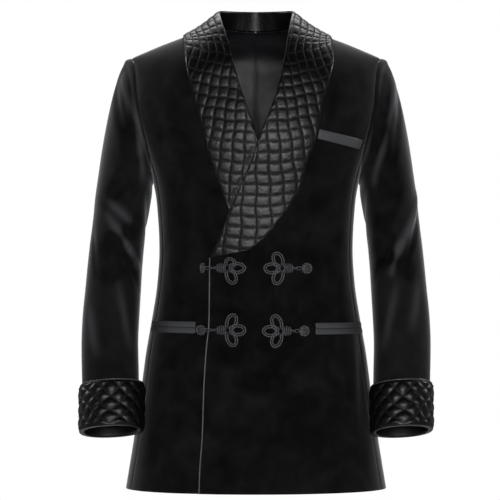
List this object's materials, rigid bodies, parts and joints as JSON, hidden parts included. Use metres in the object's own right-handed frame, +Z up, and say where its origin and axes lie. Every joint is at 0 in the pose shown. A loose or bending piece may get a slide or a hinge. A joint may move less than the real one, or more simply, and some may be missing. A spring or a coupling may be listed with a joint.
{
  "type": "smoking jacket",
  "caption": "Double-breasted velvet smoking jacket, filled out and empty, with a quilted satin shawl collar, turned-back quilted cuffs, jetted pockets and corded frog closures.",
  "frame": {"origin": "midway between the two points where the shoulder seams meet the neck, where the wearer's shoulders hold the jacket", "axes": "+Z up, the front faces -Y, +X towards the wearer's left"},
  "size_m": [0.6068, 0.291, 0.8292],
  "materials": {
    "velvet": "black cotton velvet, soft short pile",
    "satin": "black satin, quilted on the collar and the cuffs",
    "braid": "black braided silk cord"
  },
  "bodies": {
    "root": {"back_left": "velvet", "back_right": "velvet", "breast_welt": "satin", "collar_fall_left": "satin", "collar_fall_right": "satin", "collar_stand": "satin", "cuff_left": "satin", "cuff_piping_left": "satin", "cuff_piping_right": "satin", "cuff_right": "satin", "frog_lower_left_barrel": "braid", "frog_lower_left_button": "braid", "frog_lower_left_loops": "braid", "frog_lower_right_barrel": "braid", "frog_lower_right_button": "braid", "frog_lower_right_loops": "braid", "frog_upper_left_barrel": "braid", "frog_upper_left_button": "braid", "frog_upper_left_loops": "braid", "frog_upper_right_barrel": "braid", "frog_upper_right_button": "braid", "frog_upper_right_loops": "braid", "front_edge_piping": "satin", "front_left": "velvet", "front_right": "velvet", "lapel_left": "satin", "lapel_right": "satin", "pocket_jet_lower_left": "satin", "pocket_jet_lower_right": "satin", "pocket_jet_upper_left": "satin", "pocket_jet_upper_right": "satin", "side_left": "velvet", "side_right": "velvet", "top_sleeve_lower_left": "velvet", "top_sleeve_lower_right": "velvet", "top_sleeve_upper_left": "velvet", "top_sleeve_upper_right": "velvet", "under_sleeve_left": "velvet", "under_sleeve_right": "velvet"}
  },
  "joints": []
}
